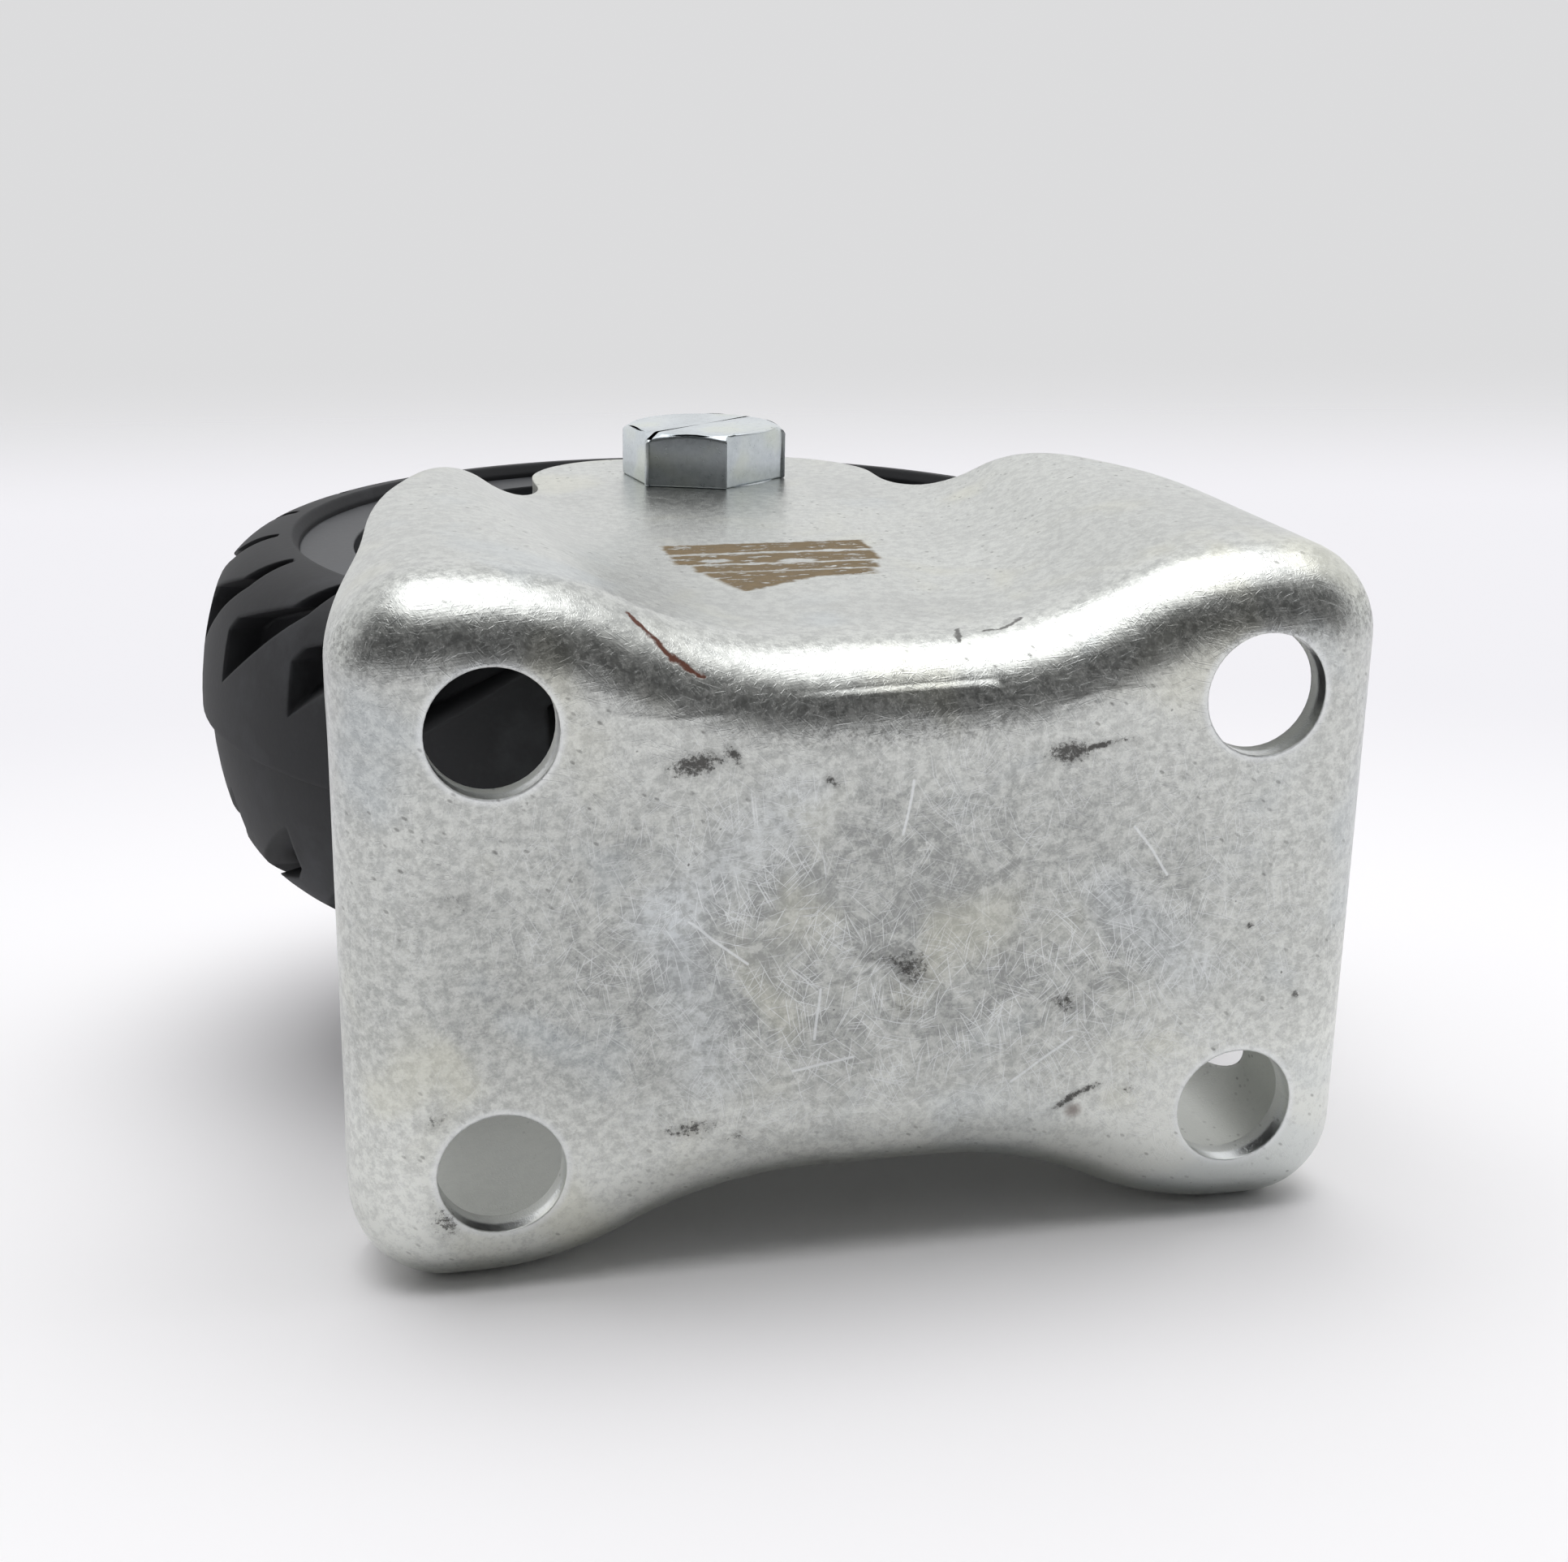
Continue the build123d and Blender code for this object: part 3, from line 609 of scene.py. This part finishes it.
def makeAxleBolt(shape):
    low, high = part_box("axle_bolt")
    axle = Vector(((low.x + high.x) / 2, 0, (low.z + high.z) / 2)) / mm
    top, tip = high.y / mm, low.y / mm
    seat = top - shape["headHeight"]
    outline = roundedHexagon(shape["acrossFlats"], shape["cornerRadius"])
    slope = math.tan(math.radians(shape["chamferTilt"]))
    r = shape["edgeRound"]

    def ring(radiusAt, heightAt):
        # a ring about the axle; the corner at angle 0 starts at +X and turns towards -Z
        points = []
        for angle, radius in outline:
            turned = angle + math.radians(shape["headTurn"])
            reach, y = radiusAt(radius), heightAt(radius)
            points.append(Vector((reach * math.cos(turned), y, -reach * math.sin(turned) + axle.z)) * mm)
        return points

    def edge(radius):
        return top - max(radius - shape["topRadius"], 0.0) * slope

    shank, tipRadius = shape["shankRadius"], shape["shankRadius"] - shape["tipChamfer"]
    core = shank - shape["threadDepth"]
    threadTop = tip + shape["threadLength"]
    rings = [
        ring(lambda q: tipRadius - shape["capRadius"], lambda q: tip),
        ring(lambda q: core, lambda q: tip + shape["tipChamfer"] * 0.8),
        ring(lambda q: core, lambda q: threadTop - shape["threadRunOut"]),
        ring(lambda q: shank, lambda q: threadTop),
        ring(lambda q: shank, lambda q: seat),
        ring(lambda q: shape["topRadius"] - 0.1, lambda q: seat),
        ring(lambda q: q - shape["underRound"] * 0.75, lambda q: seat + shape["underRound"] * 0.1),
        ring(lambda q: q, lambda q: seat + shape["underRound"]),
        ring(lambda q: q, lambda q: edge(q) - r),
        ring(lambda q: q - r * 4 / 15, lambda q: edge(q) - 0.3 * r),
        ring(lambda q: q - 0.9 * r, lambda q: edge(q - 0.9 * r)),
        ring(lambda q: shape["topRadius"] + r, lambda q: top - r * slope),
        ring(lambda q: shape["topRadius"], lambda q: top - 0.25 * r * slope),
        ring(lambda q: shape["topRadius"] - r, lambda q: top),
        ring(lambda q: shape["capRadius"], lambda q: top),
    ]
    bolt = ringedMesh("axleBolt", rings)
    tree = threadTree(finishes["brightZinc"])
    modifier = bolt.modifiers.new("rolledThread", "NODES")
    modifier.node_group = tree
    turns = (shape["threadLength"] - shape["tipChamfer"] - 1.0) / shape["threadPitch"]
    inputs = {
        "Turns": turns, "Length": turns * shape["threadPitch"] * mm, "Path Radius": core * mm,
        "Depth": shape["threadDepth"] * mm,
        "Start": Vector((axle.x, threadTop - 0.9, axle.z)) * mm,
    }
    for item in tree.interface.items_tree:
        if item.in_out == "INPUT" and item.name in inputs:
            modifier[item.identifier] = inputs[item.name]
    bolt.data.materials.append(finishes["brightZinc"])
    bakeModifiers(bolt)
    smooth(bolt, 24)
    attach(bolt, "bracket_and_axle")
    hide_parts("axle_bolt")
    return bolt


axleBolt = makeAxleBolt(boltShape)
print("bolt made:", len(axleBolt.data.vertices), "points")


# Stage: the castor lies on its nut side, on a pale floor below a broad soft light
stageLook = {
    "bendRadius": 8.5, "tipRadius": 4.75, "halfSize": 12000.0,
    # painted light near the castor and painted shade farther off: the floor's colours, and the distances where one
    # turns into the other
    "paintedLightNear": colour(249, 248, 249), "far": colour(235, 234, 237), "nearEnd": 110.0, "farStart": 400.0,
    "fadeFrom": 1050.0, "fadeTo": 12000.0,
}
boltLow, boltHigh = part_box("axle_bolt")
sheetLow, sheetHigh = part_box("bracket")


def restingPlane(look):
    # the floor's normal and height, touching the lower lobes' bend and the near corner of the bolt's tip
    bendY, bendZ = sheetLow.y / mm + look["bendRadius"], -look["bendRadius"]
    tipY, tipZ = boltLow.y / mm, (boltLow.z + boltHigh.z) / 2 / mm + look["tipRadius"]
    across, along = bendY - tipY, bendZ - tipZ
    lean = math.acos(look["bendRadius"] / math.hypot(across, along)) - math.atan2(along, across)
    normal = Vector((0, math.cos(lean), -math.sin(lean)))
    return normal, normal.dot(Vector((0, tipY, tipZ)))


floorNormal, floorHeight = restingPlane(stageLook)


def makeFloor(look):
    right = Vector((1, 0, 0))
    ahead = right.cross(floorNormal)
    corners = [(-1, -1), (1, -1), (1, 1), (-1, 1)]
    points = [(floorNormal * floorHeight + right * a * look["halfSize"] + ahead * b * look["halfSize"]) * mm
              for a, b in corners]
    data = bpy.data.meshes.new("paleFloor")
    data.from_pydata(points, [], [(0, 1, 2, 3)])
    if data.polygons[0].normal.dot(floorNormal) < 0:
        data.flip_normals()
    floor = bpy.data.objects.new("paleFloor", data)
    bpy.context.scene.collection.objects.link(floor)
    finish = Finish(bpy.data.materials.new("paleFloor"))
    distance = finish.number("LENGTH", finish.place())
    behind = finish.node("ShaderNodeNewGeometry", out="Backfacing")
    gone = behind.atLeast(finish.step(1.0 / distance, 1 / look["fadeFrom"], 1 / look["fadeTo"]))
    # painted light and shade: paler near the castor, against the shadow it casts, and darker farther off
    shade = finish.blend(finish.step(distance, look["nearEnd"], look["farStart"]), look["paintedLightNear"], look["far"])
    card = finish.node("ShaderNodeBsdfDiffuse", values={"Color": shade})
    clear = finish.node("ShaderNodeBsdfTransparent")
    mixed = finish.node("ShaderNodeMixShader", values={0: gone, 1: card, 2: clear})
    finish.node("ShaderNodeOutputMaterial", values={"Surface": mixed})
    data.materials.append(finish.owner)
    return floor


# Room: radiance by direction
roomLook = {
    "overhead": 3.0, "wall": 1.0, "dim": 0.06, "ground": 0.8, "backdrop": 0.725,
    "front": (-0.237, 0.0, 0.971),
}


def makeRoom(look):
    world = bpy.data.worlds.new("softRoom")
    bpy.context.scene.world = world
    finish = Finish(world)
    direction = finish.node("ShaderNodeTexCoord", out="Generated")
    up = finish.number("DOT_PRODUCT", direction, floorNormal)
    front = finish.number("DOT_PRODUCT", direction, Vector(look["front"]).normalized())
    walls = look["wall"] + finish.step(front, -0.25, 0.25) * (look["dim"] - look["wall"])
    light = walls + finish.step(up, 0.82, 0.95) * (look["overhead"] - walls)
    light = light + finish.step(up, 0.05, -0.02) * (look["ground"] - light)
    seen = finish.node("ShaderNodeLightPath", out="Is Camera Ray")
    light = light + seen * (look["backdrop"] - light)
    background = finish.node("ShaderNodeBackground", values={"Color": (0.99, 0.99, 1.0, 1.0), "Strength": light})
    finish.node("ShaderNodeOutputWorld", values={"Surface": background})


# Camera: the photograph's viewing angle
cameraLook = {
    "place": (-56.65, 77.39, 190.24), "view": (0.22577, -0.30152, -0.92634), "up": (0.05517, 0.95333, -0.29686),
    "lens": 52.17,
}


def makeCamera(look):
    data = bpy.data.cameras.new("photoCamera")
    data.sensor_width = 36.0
    data.lens = look["lens"]
    data.clip_start, data.clip_end = 0.005, 60.0
    camera = bpy.data.objects.new("photoCamera", data)
    bpy.context.scene.collection.objects.link(camera)
    back = -Vector(look["view"]).normalized()
    right = Vector(look["up"]).cross(back).normalized()
    turned = Matrix((right, back.cross(right), back)).transposed()
    camera.matrix_world = Matrix.Translation(Vector(look["place"]) * mm) @ turned.to_4x4()
    bpy.context.scene.camera = camera


makeFloor(stageLook)
makeRoom(roomLook)
makeCamera(cameraLook)
bpy.context.scene.view_settings.view_transform = "Standard"
print("stage set: floor height", round(floorHeight, 2), "mm")
